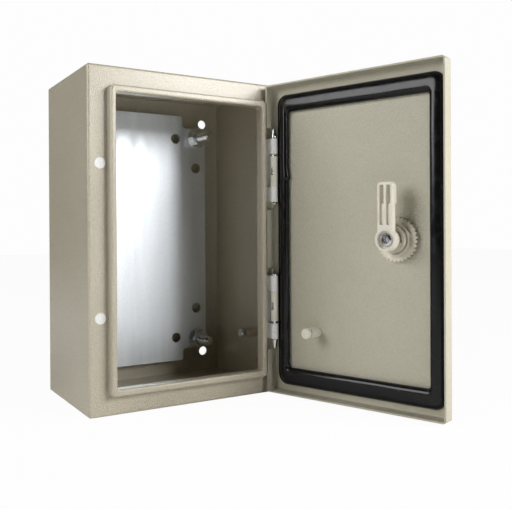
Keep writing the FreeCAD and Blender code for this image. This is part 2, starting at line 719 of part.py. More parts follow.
def makeDoorKnuckle():
    """A barrel whose leaf runs to the door's inner skin, with a window that shows the pin."""
    body = newBody("door_knuckle_upper")
    bottom = "-%s / 2 + bodyKnuckleLength + knuckleRest" % hingeLength
    leaf = newSketch(body, "knuckleLeaf", "XY_Plane", bottom)
    rectangle(leaf, "0", "%s - doorBend - leafClearance" % doorSide, skinInside, "0")
    pad(body, leaf, "doorKnuckleLength")
    barrel = newSketch(body, "knuckleBarrel", "XY_Plane", bottom)
    circle(barrel, "0", "0", "doorKnuckleDiameter")
    pad(body, barrel, "doorKnuckleLength")
    bore = newSketch(body, "knuckleBore", "XY_Plane", "%s + doorKnuckleLength" % bottom)
    circle(bore, "0", "0", "pinDiameter + 2 * pinClearance")
    pocket(body, bore, "doorKnuckleLength")
    window = frontSketch(body, "knuckleWindow", "0")
    rectangle(window, "-windowWidth / 2", "windowWidth / 2",
              "%s + doorKnuckleLength / 2 - windowHeight / 2" % bottom,
              "%s + doorKnuckleLength / 2 + windowHeight / 2" % bottom)
    pocket(body, window, "doorKnuckleDiameter")
    placeOnDoor(body, "0", "0", hingeMiddle)
    doc.recompute()
    return [body, mirrored("door_knuckle_lower", body, upward)]


def makePlugs():
    """Plugs that close the spare hinge holes: a low domed head and a stem behind the flange."""
    body = newBody("sparePlug")
    profile = newSketch(body, "plugProfile", "XY_Plane", "0")
    stem = "hingeHoleDiameter / 2 - plugClearance"
    outline(profile, [("0", "-plugHeight"), ("plugDiameter / 2 - plugHeight", "-plugHeight"),
                      ("plugDiameter / 2", "-plugHeight / 3"), ("plugDiameter / 2", "0"),
                      (stem, "0"), (stem, "plugLength"), ("0", "plugLength")])
    revolve(body, profile)
    place(body, "-%s" % hingeStudX, flangeFront, hingeMiddle)
    return [upAndDown("spare_hole_plugs", body)]


# Door, from the pin axis with the door closed

def makeDoorPanel():
    body = newBody("door_panel")
    pan = frontSketch(body, "doorPan", returnEnd)
    rectangle(pan, doorFree, doorSide, "-" + doorEnd, doorEnd)
    pad(body, pan, "doorDepth")
    endY = size("pinRise") - size("doorGap")
    fillet(body, "doorBend", lambda edge: not atY(edge, endY))
    room = frontSketch(body, "doorRoom", returnEnd)
    rectangle(room, "%s + sheetThickness" % doorFree, "%s - sheetThickness" % doorSide,
              "sheetThickness - %s" % doorEnd, "%s - sheetThickness" % doorEnd)
    pocket(body, room, "doorDepth - sheetThickness", True)
    halfRoom = size("bodyHeight") / 2 - size("doorFromEnd") - size("sheetThickness") + 1e-4
    sideX = size("pinInset") - size("doorFromSide")
    freeX = size("pinInset") + size("doorFromSide") - size("bodyWidth")
    fillet(body, "doorBend - sheetThickness",
           lambda edge: not atY(edge, endY) and max(abs(edge.ZMin), abs(edge.ZMax)) < halfRoom
           and edge.XMax < sideX - size("sheetThickness") + 1e-4
           and edge.XMin > freeX + size("sheetThickness") - 1e-4)
    makeReturnNotches(body, sideX)
    hole = frontSketch(body, "lockHole", skinOutside)
    circle(hole, lockX, "0", "lockHoleDiameter")
    pocket(body, hole, "2 * sheetThickness")
    placeOnDoor(body, "0", "0", "0")
    return body


def makeReturnNotches(body, sideX):
    """The return is cut away round each hinge, with rounded corners at the bend."""
    notches = newSketch(body, "returnNotches", "YZ_Plane", "%s - 2 * sheetThickness" % doorSide)
    bendY = "%s + doorBend" % skinOutside
    beyond = "%s + sheetThickness" % returnEnd
    rectangle(notches, bendY, beyond,
              "%s - returnNotchBelow" % hingeMiddle, "%s + returnNotchAbove" % hingeMiddle)
    rectangle(notches, bendY, beyond,
              "-%s - returnNotchAbove" % hingeMiddle, "-%s + returnNotchBelow" % hingeMiddle)
    pocket(body, notches, "3 * sheetThickness", True)
    deepY = size("pinRise") - size("doorGap") - size("doorDepth") + size("doorBend")
    fillet(body, "returnNotchRadius",
           lambda edge: near(edge.YMin, deepY) and near(edge.YMax, deepY) and edge.ZLength < 1e-4
           and edge.XMax > sideX - 1e-4 and edge.XMin > sideX - size("sheetThickness") - 1e-4)


def makeGasket():
    """Foam strip all round the door's inner skin, facing the lip. On the hinge side only its low
    edge reaches under the knuckles."""
    body = newBody("door_gasket")
    strip = frontSketch(body, "gasketOutline", skinInside)
    left = "-%s - %s + gasketInset" % (halfWidth, pinX)
    right = "-doorKnuckleDiameter / 2 - gasketHingeGap"
    top = "(%s - gasketTopInset)" % halfHeight
    rectangle(strip, left, right, "-" + top, top)
    rectangle(strip, left + " + gasketWidth", "%s - gasketInset - gasketWidth - %s" % (halfWidth, pinX),
              "-(%s - gasketWidth)" % top, "%s - gasketWidth" % top)
    pad(body, strip, "doorGap + doorDepth - sheetThickness - lipHeight - gasketClearance", True)
    outerZ = size("bodyHeight") / 2 - size("gasketTopInset")
    fillet(body, "gasketCorner", lambda edge: alongY(edge) and near(abs(edge.ZMin), outerZ))
    innerZ = outerZ - size("gasketWidth")
    fillet(body, "gasketInnerCorner", lambda edge: alongY(edge) and near(abs(edge.ZMin), innerZ))
    skirt = frontSketch(body, "gasketSkirt", skinInside)
    rectangle(skirt, right + " - gasketCorner", "-skirtClearance", "-" + top, top)
    pad(body, skirt, "skirtHeight", True)
    skirtX = -size("skirtClearance")
    fillet(body, "gasketCorner", lambda edge: alongY(edge) and near(edge.XMin, skirtX))
    placeOnDoor(body, "0", "0", "0")
    return body


# Lock, from the inner skin of the door on the lock axis, inward along Y

def makeHousing():
    body = newBody("lock_housing")
    profile = newSketch(body, "housingProfile", "XY_Plane", "0")
    bore = "rotorDiameter / 2 + rotorClearance"
    under = "(-sheetThickness - sealThickness)"
    face = "(-sheetThickness - sealThickness - lockHeadHeight)"
    outline(profile, [(bore, face), ("lockHeadDiameter / 2 - lockHeadChamfer", face),
                      ("lockHeadDiameter / 2", face + " + lockHeadChamfer"), ("lockHeadDiameter / 2", under),
                      ("lockSleeveDiameter / 2", under), ("lockSleeveDiameter / 2", "lockSleeveHeight"),
                      (bore, "lockSleeveHeight")])
    revolve(body, profile)
    placeOnDoor(body, lockX, skinInside, "0")
    return body


def makeSeal():
    body = makeTube("lock_seal", "sealDiameter", "lockSleeveDiameter + 2 * threadClearance", "sealThickness")
    placeOnDoor(body, lockX, skinOutside, "0")
    return body


def makeRingNut():
    """A toothed ring with an eight-sided collar on it, sunk round the thread."""
    body = newBody("lock_ring_nut")
    ring = frontSketch(body, "ringNutDisc", "0")
    circle(ring, "0", "0", "ringNutDiameter")
    pad(body, ring, "ringNutThickness", True)
    tooth = frontSketch(body, "ringNutTooth", "0")
    rim = "ringNutDiameter / 2"
    outline(tooth, [("%s - toothDepth" % rim, "-toothGap / 4"), ("%s + 1" % rim, "-toothGap / 2 - toothGap / 4"),
                    ("%s + 1" % rim, "toothGap / 2 + toothGap / 4"), ("%s - toothDepth" % rim, "toothGap / 4")])
    cut = pocket(body, tooth, "ringNutThickness + 1")
    teeth = body.newObject("PartDesign::PolarPattern", "ringNutTeeth")
    teeth.Originals = [cut]
    teeth.Axis = (ring, ["N_Axis"])
    teeth.Angle = 360
    teeth.setExpression("Occurrences", bound("toothCount"))
    body.Tip = teeth
    doc.recompute()
    collar = frontSketch(body, "ringNutCollar", "ringNutThickness")
    octagon(collar, "collarFlats")
    pad(body, collar, "collarHeight", True)
    topY = size("ringNutThickness") + size("collarHeight")
    fillet(body, "collarCorner", lambda edge: alongY(edge) and near(edge.YMax, topY))
    bore = frontSketch(body, "ringNutBore", "0")
    circle(bore, "0", "0", "lockSleeveDiameter + 2 * threadClearance")
    pocket(body, bore, "ringNutThickness + collarHeight")
    sink = frontSketch(body, "ringNutSink", "ringNutThickness + collarHeight")
    circle(sink, "0", "0", "collarFlats - 2 * collarRim")
    pocket(body, sink, "collarSink", True)
    placeOnDoor(body, lockX, skinInside, "0")
    return body


def ringSector(sketch, inner, outer, start, end, steps):
    """A sector between two radii, drawn with short chords from start to end in degrees."""
    turns = ["(%s + (%s - %s) * %d / %d) * 1 deg" % (start, end, start, step, steps)
             for step in range(steps + 1)]
    points = [("(%s) * cos(%s)" % (outer, turn), "(%s) * sin(%s)" % (outer, turn)) for turn in turns]
    points += [("(%s) * cos(%s)" % (inner, turn), "(%s) * sin(%s)" % (inner, turn)) for turn in reversed(turns)]
    outline(sketch, points)


def makeStopRing():
    """The ring on the sleeve's end. Its recess lets the rotor's lug turn between two stops."""
    body = newBody("lock_stop_ring")
    ring = frontSketch(body, "stopRingDisc", "lockSleeveHeight")
    circle(ring, "0", "0", "stopRingDiameter")
    circle(ring, "0", "0", "stopDiscDiameter + 2 * rotorClearance")
    pad(body, ring, "stopRingHeight", True)
    recess = frontSketch(body, "stopRecess", stopRingTop)
    halfLug = "(asin(stopLugWidth / stopDiscDiameter) / 1 deg + stopSlack)"
    ringSector(recess, "stopDiscDiameter / 2 - 0.5", "stopDiscDiameter / 2 + stopGrooveWidth",
               "(90 - %s)" % halfLug, "(90 + stopAngle + %s)" % halfLug, 14)
    pocket(body, recess, "stopRingHeight / 2", True)
    placeOnDoor(body, lockX, skinInside, "0")
    return body


def makeRotor():
    """Turned rod with a stop disc and lug, a square for the lever and a double-bit key recess."""
    body = newBody("lock_rotor")
    profile = newSketch(body, "rotorProfile", "XY_Plane", "0")
    outer = "(-sheetThickness - sealThickness - lockHeadHeight + rotorSetback)"
    rod = "rotorDiameter / 2"
    disc = "stopDiscDiameter / 2"
    discStart = "(lockSleeveHeight + rotorPlay)"
    discEnd = "(%s - rotorPlay)" % stopRingTop
    outline(profile, [("0", outer), (rod, outer), (rod, discStart), (disc, discStart),
                      (disc, discEnd), (rod, discEnd), (rod, leverTipBase), ("0", leverTipBase)])
    revolve(body, profile)
    square = frontSketch(body, "rotorSquare", leverTipBase)
    centredRectangle(square, "driveSquare / 2", "driveSquare / 2")
    pad(body, square, "leverStep + leverThickness - leverRecessDepth - driveClearance", True)
    lug = frontSketch(body, "rotorLug", discEnd)
    rectangle(lug, "-stopLugWidth / 2", "stopLugWidth / 2",
              "%s - 1" % disc, "%s + stopGrooveWidth - rotorPlay - rotorClearance" % disc)
    pad(body, lug, "stopRingHeight / 2 - 2 * rotorPlay")
    bore = frontSketch(body, "rotorBore", leverTop)
    circle(bore, "0", "0", "screwDiameter + 2 * screwClearance")
    pocket(body, bore, "leverRecessDepth + screwLength + 1", True)
    key = frontSketch(body, "keyRecess", outer)
    circle(key, "0", "0", "keyRecessDiameter")
    circle(key, "0", "0", "keyPinDiameter")
    pocket(body, key, "keyRecessDepth")
    bits = frontSketch(body, "keyBits", outer)
    for sign in ("", "-"):
        rectangle(bits, sign + "keyRecessDiameter / 2.2", sign + "(keyRecessDiameter + rotorDiameter) / 4",
                  "-keyBitWidth / 2", "keyBitWidth / 2")
    pocket(body, bits, "keyRecessDepth")
    placeOnDoor(body, lockX, skinInside, "0")
    return body


def makeLever():
    """A flat arm with a thicker boss and tip, two slots and a sunk seat for the screw."""
    body = newBody("lock_lever")
    arm = frontSketch(body, "leverArm", leverBase)
    rectangle(arm, "-leverWidth / 2", "leverWidth / 2", "0", "leverLength")
    pad(body, arm, "leverThickness", True)
    boss = frontSketch(body, "leverBoss", leverTipBase)
    circle(boss, "0", "0", "leverBossDiameter")
    pad(body, boss, "leverStep + leverThickness", True)
    tip = frontSketch(body, "leverTip", leverTipBase)
    rectangle(tip, "-leverWidth / 2", "leverWidth / 2", "leverTipStart", "leverLength")
    pad(body, tip, "leverStep + leverThickness", True)
    fillet(body, "leverCorner", lambda edge: alongY(edge) and near(edge.ZMin, size("leverLength")))

    pockets = frontSketch(body, "leverPockets", leverTop)
    through = frontSketch(body, "leverSlots", leverTop)
    for sign in ("", "-"):
        ribSide = sign + "leverRib / 2"
        farSide = sign + "(leverRib / 2 + leverSlotWidth)"
        rectangle(pockets, ribSide, farSide, "leverSlotStart", "leverTipStart")
        rectangle(through, ribSide, farSide, "leverTipStart", "leverLength - leverTipWall")
    pocket(body, pockets, "leverPocketDepth", True)
    pocket(body, through, "2 * leverThickness + leverStep", True)
    slotEnd = size("leverLength") - size("leverTipWall")
    slotStart = size("leverSlotStart")
    fillet(body, "leverSlotWidth / 3",
           lambda edge: alongY(edge) and (near(edge.ZMin, slotEnd) or near(edge.ZMin, slotStart)))

    recess = frontSketch(body, "leverSeat", leverTop)
    circle(recess, "0", "0", "leverRecessDiameter")
    pocket(body, recess, "leverRecessDepth", True)
    drive = frontSketch(body, "leverDrive", leverTop)
    centredRectangle(drive, "driveSquare / 2 + driveClearance", "driveSquare / 2 + driveClearance")
    pocket(body, drive, "leverStep + leverThickness + 1", True)
    topY = (size("doorGap") + size("doorDepth") + size("latchClearance") + size("leverStep")
            + size("leverThickness"))
    chamfer(body, "leverEdge", lambda edge: atY(edge, topY))
    placeOnDoor(body, lockX, skinInside, "0")
    return body


def makeScrew():
    """Pan-head screw with a crossed recess, seated in the lever and threaded into the rotor."""
    body = newBody("lock_screw")
    profile = newSketch(body, "screwProfile", "XY_Plane", "0")
    seat = "(%s - leverRecessDepth)" % leverTop
    shank = "screwDiameter / 2"
    head = "screwHeadDiameter / 2"
    outline(profile, [("0", "%s - screwLength" % seat), (shank, "%s - screwLength" % seat), (shank, seat),
                      (head, seat), (head, "%s + screwHeadHeight * 0.4" % seat),
                      (head + " - screwHeadSlope / 3", "%s + screwHeadHeight * 0.75" % seat),
                      (head + " - screwHeadSlope", "%s + screwHeadHeight" % seat),
                      ("0", "%s + screwHeadHeight" % seat)])
    revolve(body, profile)
    cross = frontSketch(body, "screwCross", "%s + screwHeadHeight" % seat)
    long = "screwCross / 2"
    thin = "screwCrossWidth / 2"
    quarter = [(long, thin), (thin, thin), (thin, long)]
    points = list(quarter)
    points += [("-" + x, z) for x, z in reversed(quarter)]
    points += [("-" + x, "-" + z) for x, z in quarter]
    points += [(x, "-" + z) for x, z in reversed(quarter)]
    outline(cross, points)
    pocket(body, cross, "screwCrossDepth", True)
    placeOnDoor(body, lockX, skinInside, "0")
    return body


nodes = [makeBodyShell(), makePlate(), makePlateStuds()]
nodes += makePlateFixings()
nodes += makeBodyEarth()
nodes += makeBracket()
nodes += makeHingeFixings()
nodes += makePin()
nodes += makePlugs()
nodes += [makeDoorPanel()]
nodes += makeDoorKnuckle()
nodes += [makeGasket()]
nodes += makeDoorEarth()
nodes += [makeHousing(), makeSeal(), makeRingNut(), makeStopRing()]
nodes += [makeRotor(), makeLever(), makeScrew()]

doc.recompute()
for thing in doc.Objects:
    if "Invalid" in thing.State or "Error" in thing.State:
        raise RuntimeError("%s did not build: %s" % (thing.Name, thing.State))
for node in nodes:
    if node.Shape.isNull() or not node.Shape.isValid():
        raise RuntimeError(node.Label + " is not a valid solid")

os.makedirs("parts", exist_ok=True)
for node in nodes:
    node.Shape.exportStep("parts/%s.step" % node.Label)
    print("%-24s %2d solid(s) %10.1f mm3" % (node.Label, len(node.Shape.Solids), node.Shape.Volume))
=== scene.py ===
import bpy
import json
import math
from mathutils import Matrix, Vector


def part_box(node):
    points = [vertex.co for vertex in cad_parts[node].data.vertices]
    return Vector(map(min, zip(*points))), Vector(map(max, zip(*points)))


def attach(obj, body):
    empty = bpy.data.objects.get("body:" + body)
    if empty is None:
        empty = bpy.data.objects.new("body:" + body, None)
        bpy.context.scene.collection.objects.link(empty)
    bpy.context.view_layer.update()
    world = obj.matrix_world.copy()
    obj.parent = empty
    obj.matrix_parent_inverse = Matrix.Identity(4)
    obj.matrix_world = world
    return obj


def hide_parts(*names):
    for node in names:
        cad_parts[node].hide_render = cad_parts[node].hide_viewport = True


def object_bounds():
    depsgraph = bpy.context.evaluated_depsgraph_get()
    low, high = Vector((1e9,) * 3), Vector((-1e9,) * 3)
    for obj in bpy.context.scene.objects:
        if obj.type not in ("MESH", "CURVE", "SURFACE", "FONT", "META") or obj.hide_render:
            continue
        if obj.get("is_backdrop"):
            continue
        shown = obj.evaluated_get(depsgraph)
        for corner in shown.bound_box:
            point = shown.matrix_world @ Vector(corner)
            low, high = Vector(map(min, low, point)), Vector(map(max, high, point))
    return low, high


# Small steel wall cabinet with its door standing open: paint, plating, seal and threads.
# Metres throughout. Each piece keeps what a user may change in the dictionary above its code.

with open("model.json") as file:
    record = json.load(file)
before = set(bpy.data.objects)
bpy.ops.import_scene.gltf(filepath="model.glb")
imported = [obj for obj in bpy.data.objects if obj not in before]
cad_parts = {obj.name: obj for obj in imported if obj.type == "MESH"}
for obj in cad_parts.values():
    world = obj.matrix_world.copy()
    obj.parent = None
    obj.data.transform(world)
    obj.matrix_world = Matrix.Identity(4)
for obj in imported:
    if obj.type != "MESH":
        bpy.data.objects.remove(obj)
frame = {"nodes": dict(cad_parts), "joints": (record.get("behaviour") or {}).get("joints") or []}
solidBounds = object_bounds()
nodes = frame["nodes"]
print("frame loaded,", len(nodes), "nodes")


def plainList(value):
    if isinstance(value, (int, float)):
        return float(value)
    return [plainList(part) for part in value]


def srgb(red, green, blue):
    # 0 to 255 as a paint chart gives it, to the shader's linear colour
    channels = []
    for part in (red, green, blue):
        part = part / 255
        channels.append(part / 12.92 if part <= 0.04045 else ((part + 0.055) / 1.055) ** 2.4)
    return tuple(channels) + (1.0,)


# Camera: standing to the left of the mouth, a little above the middle

cameraSettings = {
    "place": (-0.273165, -0.686625, 0.008774),
    "turn": 0.55151,          # radians to the right of straight in
    "tilt": -0.00437,
    "roll": -0.00491,
    "focalPixels": 681.47,
    "pictureWidth": 512,
    "pictureHeight": 509,
    "axisX": 257.91,          # where the lens axis meets the picture, in pixels
    "axisY": 232.71,
    "sensor": 36.0,
}


def makeCamera(settings):
    turn = settings["turn"]
    tilt = settings["tilt"]
    forward = Vector((math.sin(turn) * math.cos(tilt), math.cos(turn) * math.cos(tilt), math.sin(tilt)))
    level = Vector((math.cos(turn), -math.sin(turn), 0.0))
    upright = level.cross(forward)
    right = math.cos(settings["roll"]) * level + math.sin(settings["roll"]) * upright
    up = -math.sin(settings["roll"]) * level + math.cos(settings["roll"]) * upright
    data = bpy.data.cameras.new("pictureCamera")
    data.sensor_fit = "HORIZONTAL"
    data.sensor_width = settings["sensor"]
    data.lens = settings["focalPixels"] / settings["pictureWidth"] * settings["sensor"]
    data.shift_x = -(settings["axisX"] - settings["pictureWidth"] / 2) / settings["pictureWidth"]
    data.shift_y = (settings["axisY"] - settings["pictureHeight"] / 2) / settings["pictureWidth"]
    data.clip_start = 0.01
    data.clip_end = 50
    camera = bpy.data.objects.new("pictureCamera", data)
    bpy.context.scene.collection.objects.link(camera)
    place = Vector(settings["place"])
    camera.matrix_world = Matrix(((right.x, up.x, -forward.x, place.x),
                                  (right.y, up.y, -forward.y, place.y),
                                  (right.z, up.z, -forward.z, place.z),
                                  (0, 0, 0, 1)))
    bpy.context.scene.camera = camera


makeCamera(cameraSettings)
print("camera placed")

# Studio: white surround, soft lamps and a pale floor under the cabinet.
# The floor keeps the cabinet's faint shadow and otherwise runs into the backdrop.

studioSettings = {
    "backdrop": 0.985,        # what the camera sees behind the cabinet
    "surroundLight": 0.03,    # what everything else gets from all sides
    "surroundColour": (1.0, 0.995, 0.985, 1.0),
    "floorSize": 8.0,
    "floorColour": (0.9, 0.9, 0.89, 1.0),
    "floorWhite": 0.96,       # how far the floor turns into the backdrop for the camera
    "floorGlow": 1.0,         # that backdrop's brightness
}

# name: power in watts, place, width, what it points at.
# The left one lights the body's side and the open door, the plate one gives the plate its bright band.
lampSettings = {
    "rightSoftbox": (22.0, (1.6, -1.45, 0.85), 0.6, (0.0, -0.1, 0.0)),
    "frontSoftbox": (7.4, (0.5, -1.12, 0.42), 0.4, (0.0, -0.1, 0.0)),
    "plateSoftbox": (2.0, (0.46, -1.2, -0.16), 0.5, (0.0, -0.1, 0.0)),
    "leftSoftbox": (16.0, (-1.5, 0.0, 0.62), 0.9, (0.05, -0.15, 0.0)),
}


def seenByCamera(tree):
    # 1 for rays that come straight from the camera
    path = tree.nodes.new("ShaderNodeLightPath")
    return path.outputs["Is Camera Ray"]


def makeWorld(settings):
    world = bpy.data.worlds.new("studioSurround")
    world.use_nodes = True
    tree = world.node_tree
    tree.nodes.clear()
    output = tree.nodes.new("ShaderNodeOutputWorld")
    mix = tree.nodes.new("ShaderNodeMixShader")
    light = tree.nodes.new("ShaderNodeBackground")
    light.inputs["Color"].default_value = settings["surroundColour"]
    light.inputs["Strength"].default_value = settings["surroundLight"]
    seen = tree.nodes.new("ShaderNodeBackground")
    level = settings["backdrop"]
    seen.inputs["Color"].default_value = (level, level, level, 1.0)
    tree.links.new(seenByCamera(tree), mix.inputs["Fac"])
    tree.links.new(light.outputs[0], mix.inputs[1])
    tree.links.new(seen.outputs[0], mix.inputs[2])
    tree.links.new(mix.outputs[0], output.inputs["Surface"])
    bpy.context.scene.world = world


def makeLamp(name, power, place, width, target):
    data = bpy.data.lights.new(name, "AREA")
    data.energy = power
    data.size = width
    lamp = bpy.data.objects.new(name, data)
    bpy.context.scene.collection.objects.link(lamp)
    lamp.location = place
    lamp.rotation_euler = (Vector(target) - Vector(place)).to_track_quat("-Z", "Y").to_euler()


def makeFloor(settings, height):
    half = settings["floorSize"] / 2
    corners = [(-half, -half, height), (half, -half, height), (half, half, height), (-half, half, height)]
    mesh = bpy.data.meshes.new("studioFloor")
    mesh.from_pydata(corners, [], [(0, 1, 2, 3)])
    floor = bpy.data.objects.new("studioFloor", mesh)
    bpy.context.scene.collection.objects.link(floor)
    material = bpy.data.materials.new("paleFloor")
    material.use_nodes = True
    tree = material.node_tree
    tree.nodes.clear()
    output = tree.nodes.new("ShaderNodeOutputMaterial")
    diffuse = tree.nodes.new("ShaderNodeBsdfDiffuse")
    diffuse.inputs["Color"].default_value = settings["floorColour"]
    white = tree.nodes.new("ShaderNodeEmission")
    level = settings["floorGlow"]
    white.inputs["Color"].default_value = (level, level, level, 1.0)
    share = tree.nodes.new("ShaderNodeMath")
    share.operation = "MULTIPLY"
    share.inputs[1].default_value = settings["floorWhite"]
    tree.links.new(seenByCamera(tree), share.inputs[0])
    mix = tree.nodes.new("ShaderNodeMixShader")
    tree.links.new(share.outputs[0], mix.inputs["Fac"])
    tree.links.new(diffuse.outputs[0], mix.inputs[1])
    tree.links.new(white.outputs[0], mix.inputs[2])
    tree.links.new(mix.outputs[0], output.inputs["Surface"])
    mesh.materials.append(material)
    floor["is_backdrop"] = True


makeWorld(studioSettings)
for lampName, (power, place, width, target) in lampSettings.items():
    makeLamp(lampName, power, place, width, target)
makeFloor(studioSettings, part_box("body_shell")[0].z)
bpy.context.scene.view_settings.view_transform = "Standard"
print("studio ready")

# Materials: every one starts from the object's own coordinates.
# A shade is a colour that is laid over the base where its noise is low.

unshaded = (1.0, 1.0, 1.0, 1.0)


def newMaterial(name):
    material = bpy.data.materials.new(name)
    material.use_nodes = True
    tree = material.node_tree
    shader = tree.nodes["Principled BSDF"]
    place = tree.nodes.new("ShaderNodeTexCoord")
    return material, tree, shader, place.outputs["Object"]


def noise(tree, place, scale, detail=3.0, stretch=None):
    if stretch:
        mapping = tree.nodes.new("ShaderNodeMapping")
        mapping.inputs["Scale"].default_value = stretch
        tree.links.new(place, mapping.inputs["Vector"])
        place = mapping.outputs["Vector"]
    texture = tree.nodes.new("ShaderNodeTexNoise")
    texture.inputs["Scale"].default_value = scale
    texture.inputs["Detail"].default_value = detail
    tree.links.new(place, texture.inputs["Vector"])
    return texture.outputs["Fac"]


def between(tree, factor, low, high, start=0.35, end=0.65):
    # spreads a noise between two values
    spread = tree.nodes.new("ShaderNodeMapRange")
    spread.inputs["From Min"].default_value = start
    spread.inputs["From Max"].default_value = end
    spread.inputs["To Min"].default_value = low
    spread.inputs["To Max"].default_value = high
    tree.links.new(factor, spread.inputs["Value"])
    return spread.outputs["Result"]


def glossAround(tree, factor, rough, spread):
    # roughness that wanders to both sides of its middle value
    return between(tree, factor, rough - spread["smoother"], rough + spread["rougher"])


def twoColours(tree, factor, dark, light, start=0.35, end=0.65):
    ramp = tree.nodes.new("ShaderNodeValToRGB")
    ramp.color_ramp.elements[0].position = start
    ramp.color_ramp.elements[0].color = dark
    ramp.color_ramp.elements[1].position = end
    ramp.color_ramp.elements[1].color = light
    tree.links.new(factor, ramp.inputs["Fac"])
    return ramp.outputs["Color"]


def scaled(colour, share):
    return (colour[0] * share, colour[1] * share, colour[2] * share, 1.0)


def overlay(tree, first, second, amount):
    mix = tree.nodes.new("ShaderNodeMix")
    mix.data_type = "RGBA"
    mix.blend_type = "MULTIPLY"
    mix.inputs["Factor"].default_value = amount
    tree.links.new(first, mix.inputs["A"])
    tree.links.new(second, mix.inputs["B"])
    return mix.outputs["Result"]


def bump(tree, shader, height, strength, distance, under=None):
    relief = tree.nodes.new("ShaderNodeBump")
    relief.inputs["Strength"].default_value = strength
    relief.inputs["Distance"].default_value = distance
    tree.links.new(height, relief.inputs["Height"])
    if under is not None:
        tree.links.new(under, relief.inputs["Normal"])
    tree.links.new(relief.outputs["Normal"], shader.inputs["Normal"])
    return relief.outputs["Normal"]


paintSettings = {
    "cabinet": {"colour": srgb(204, 195, 174), "wrinkle": 0.9, "rough": 0.34, "coat": 1.0},
    "door": {"colour": srgb(206, 201, 181), "wrinkle": 0.8, "rough": 0.42, "coat": 0.2},
    "coatRough": 0.28,
    "smoother": 0.07,         # how far the gloss varies to each side
    "rougher": 0.09,
    "wrinkleScale": 760.0,
    "wrinkleDepth": 0.0014,
    # painted shade: the colour laid into the dimples of the wrinkle relief
    "dimpleShadeColour": (0.86, 0.86, 0.85, 1.0),
    "dimpleShadeAmount": 0.55,    # how strongly painted shade darkens the colour in the dimples
    "grainScale": 1500.0,
    "grainDepth": 0.0003,
    "grainRelief": 0.08,
    "grainDark": 0.90,
    "grainLight": 1.06,
    "patchScale": 9.0,
    "patchShade": (0.94, 0.94, 0.93, 1.0),
}


def makePowderCoat(name, settings):
    # wrinkled powder coat: soft dimples a little over a millimetre apart, with a fine grain on them, and
    # painted shade in the dimples
    material, tree, shader, place = newMaterial(name)
    paint = paintSettings
    colour = settings["colour"]
    shader.inputs["Coat Weight"].default_value = settings["coat"]
    shader.inputs["Coat Roughness"].default_value = paint["coatRough"]
    grain = noise(tree, place, paint["grainScale"], 2.0)
    patches = noise(tree, place, paint["patchScale"], 2.0)
    wrinkles = noise(tree, place, paint["wrinkleScale"], 4.0)
    grainDark = scaled(colour, paint["grainDark"])
    grainLight = scaled(colour, paint["grainLight"])
    fine = twoColours(tree, grain, grainDark, grainLight, 0.3, 0.7)
    broad = twoColours(tree, patches, paint["patchShade"], unshaded)
    # painted shade: darker colour where the wrinkle relief is low, in the dimples
    paintedDimpleShade = twoColours(tree, wrinkles, paint["dimpleShadeColour"], unshaded, 0.3, 0.6)
    base = overlay(tree, overlay(tree, fine, broad, 1.0), paintedDimpleShade, paint["dimpleShadeAmount"])
    tree.links.new(base, shader.inputs["Base Color"])
    tree.links.new(glossAround(tree, grain, settings["rough"], paint), shader.inputs["Roughness"])
    under = bump(tree, shader, wrinkles, settings["wrinkle"], paint["wrinkleDepth"])
    bump(tree, shader, grain, paint["grainRelief"], paint["grainDepth"], under)
    return material


metalSettings = {
    "galvanised": {"dark": (0.78, 0.82, 0.86, 1.0), "light": (0.88, 0.92, 0.96, 1.0), "rough": 0.42},
    "zinc": {"dark": (0.66, 0.68, 0.68, 1.0), "light": (0.80, 0.82, 0.82, 1.0), "rough": 0.20},
    # painted shade: a dark copy of the zinc for the earth studs, standing for the shade they sit in
    "shaded": {"dark": (0.14, 0.15, 0.17, 1.0), "light": (0.26, 0.27, 0.30, 1.0), "rough": 0.30},
    "bright": {"dark": (0.66, 0.67, 0.68, 1.0), "light": (0.86, 0.87, 0.88, 1.0), "rough": 0.14},
}

sheetSettings = {
    "streakScale": 130.0,
    "streakStretch": (1.0, 1.0, 0.06),
    "streakRelief": 0.05,
    "streakDepth": 0.0004,
    "crystalScale": 420.0,
    "crystalShade": (0.94, 0.94, 0.95, 1.0),
    "crystalStrength": 0.8,
    "smoother": 0.03,
    "rougher": 0.05,
}


def makeGalvanised(name, settings):
    # rolled sheet with a faint grain along its height and small crystals
    material, tree, shader, place = newMaterial(name)
    sheet = sheetSettings
    shader.inputs["Metallic"].default_value = 1.0
    streaks = noise(tree, place, sheet["streakScale"], 3.0, sheet["streakStretch"])
    crystals = tree.nodes.new("ShaderNodeTexVoronoi")
    crystals.inputs["Scale"].default_value = sheet["crystalScale"]
    tree.links.new(place, crystals.inputs["Vector"])
    base = twoColours(tree, streaks, settings["dark"], settings["light"], 0.25, 0.75)
    spangle = twoColours(tree, crystals.outputs["Distance"], sheet["crystalShade"], unshaded, 0.1, 0.7)
    tree.links.new(overlay(tree, base, spangle, sheet["crystalStrength"]), shader.inputs["Base Color"])
    tree.links.new(glossAround(tree, streaks, settings["rough"], sheet), shader.inputs["Roughness"])
    bump(tree, shader, streaks, sheet["streakRelief"], sheet["streakDepth"])
    return material


platingSettings = {
    "cloudScale": 260.0,
    "turningScale": 900.0,
    "turningStretch": (1.0, 6.0, 1.0),
    "turningRelief": 0.05,
    "turningDepth": 0.0001,
    "smoother": 0.03,
    "rougher": 0.06,
}


def makePlatedSteel(name, settings):
    # turned or pressed steel with a thin zinc coat, slightly cloudy
    material, tree, shader, place = newMaterial(name)
    plating = platingSettings
    shader.inputs["Metallic"].default_value = 1.0
    clouds = noise(tree, place, plating["cloudScale"], 3.0)
    turning = noise(tree, place, plating["turningScale"], 2.0, plating["turningStretch"])
    tree.links.new(twoColours(tree, clouds, settings["dark"], settings["light"]), shader.inputs["Base Color"])
    tree.links.new(glossAround(tree, clouds, settings["rough"], plating), shader.inputs["Roughness"])
    bump(tree, shader, turning, plating["turningRelief"], plating["turningDepth"])
    return material


